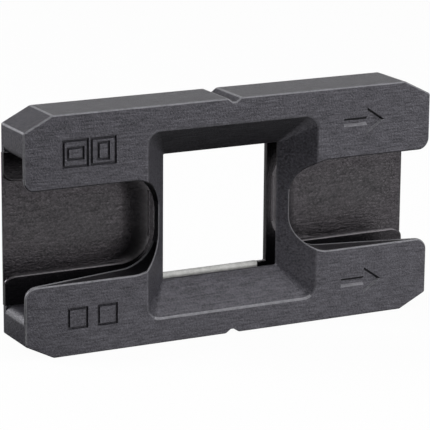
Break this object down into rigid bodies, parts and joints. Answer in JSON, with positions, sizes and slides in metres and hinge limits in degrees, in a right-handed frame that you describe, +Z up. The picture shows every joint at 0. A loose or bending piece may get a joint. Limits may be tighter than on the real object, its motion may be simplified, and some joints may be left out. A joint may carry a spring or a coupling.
{
  "type": "slide carrier",
  "caption": "Flat carrier that guides mounted slides past a tapered square window: channel open at both ends, finger cut-outs, screwed rear plate and leaf springs.",
  "frame": {"origin": "centre of the bounding box at the bottom: the middle of the long lower face the carrier stands on", "axes": "+X along the channel, the way a mount travels; +Y from the front (viewing) side to the rear (lamp) side; +Z up"},
  "size_m": [0.15, 0.0186, 0.08],
  "materials": {
    "body_plastic": "matt charcoal, fine grain",
    "plate_plastic": "matt charcoal, fine grain",
    "spring_steel": "satin spring steel",
    "rivet_steel": "bright steel",
    "screw_steel": "black oxide"
  },
  "bodies": {
    "carrier": {"carrier_body": "body_plastic", "rear_plate": "plate_plastic", "lower_spring_rivet_1": "rivet_steel", "lower_spring_rivet_2": "rivet_steel", "upper_spring_rivet_1": "rivet_steel", "upper_spring_rivet_2": "rivet_steel", "plate_screw_1": "screw_steel", "plate_screw_2": "screw_steel", "plate_screw_3": "screw_steel", "plate_screw_4": "screw_steel", "plate_screw_5": "screw_steel", "plate_screw_6": "screw_steel"},
    "lower_leaf": {"lower_leaf_spring": "spring_steel"},
    "upper_leaf": {"upper_leaf_spring": "spring_steel"}
  },
  "joints": [
    {"name": "lower_leaf_flex", "type": "hinge", "parent": "carrier", "child": "lower_leaf", "pos_m": [-0.0365, 0.00675, 0.01745], "axis": [0, 0, 1], "range_deg": [0, 0.95], "stiffness_Nm_per_rad": 0.31},
    {"name": "upper_leaf_flex", "type": "hinge", "parent": "carrier", "child": "upper_leaf", "pos_m": [-0.0365, 0.00675, 0.06255], "axis": [0, 0, 1], "range_deg": [0, 0.95], "stiffness_Nm_per_rad": 0.31}
  ]
}
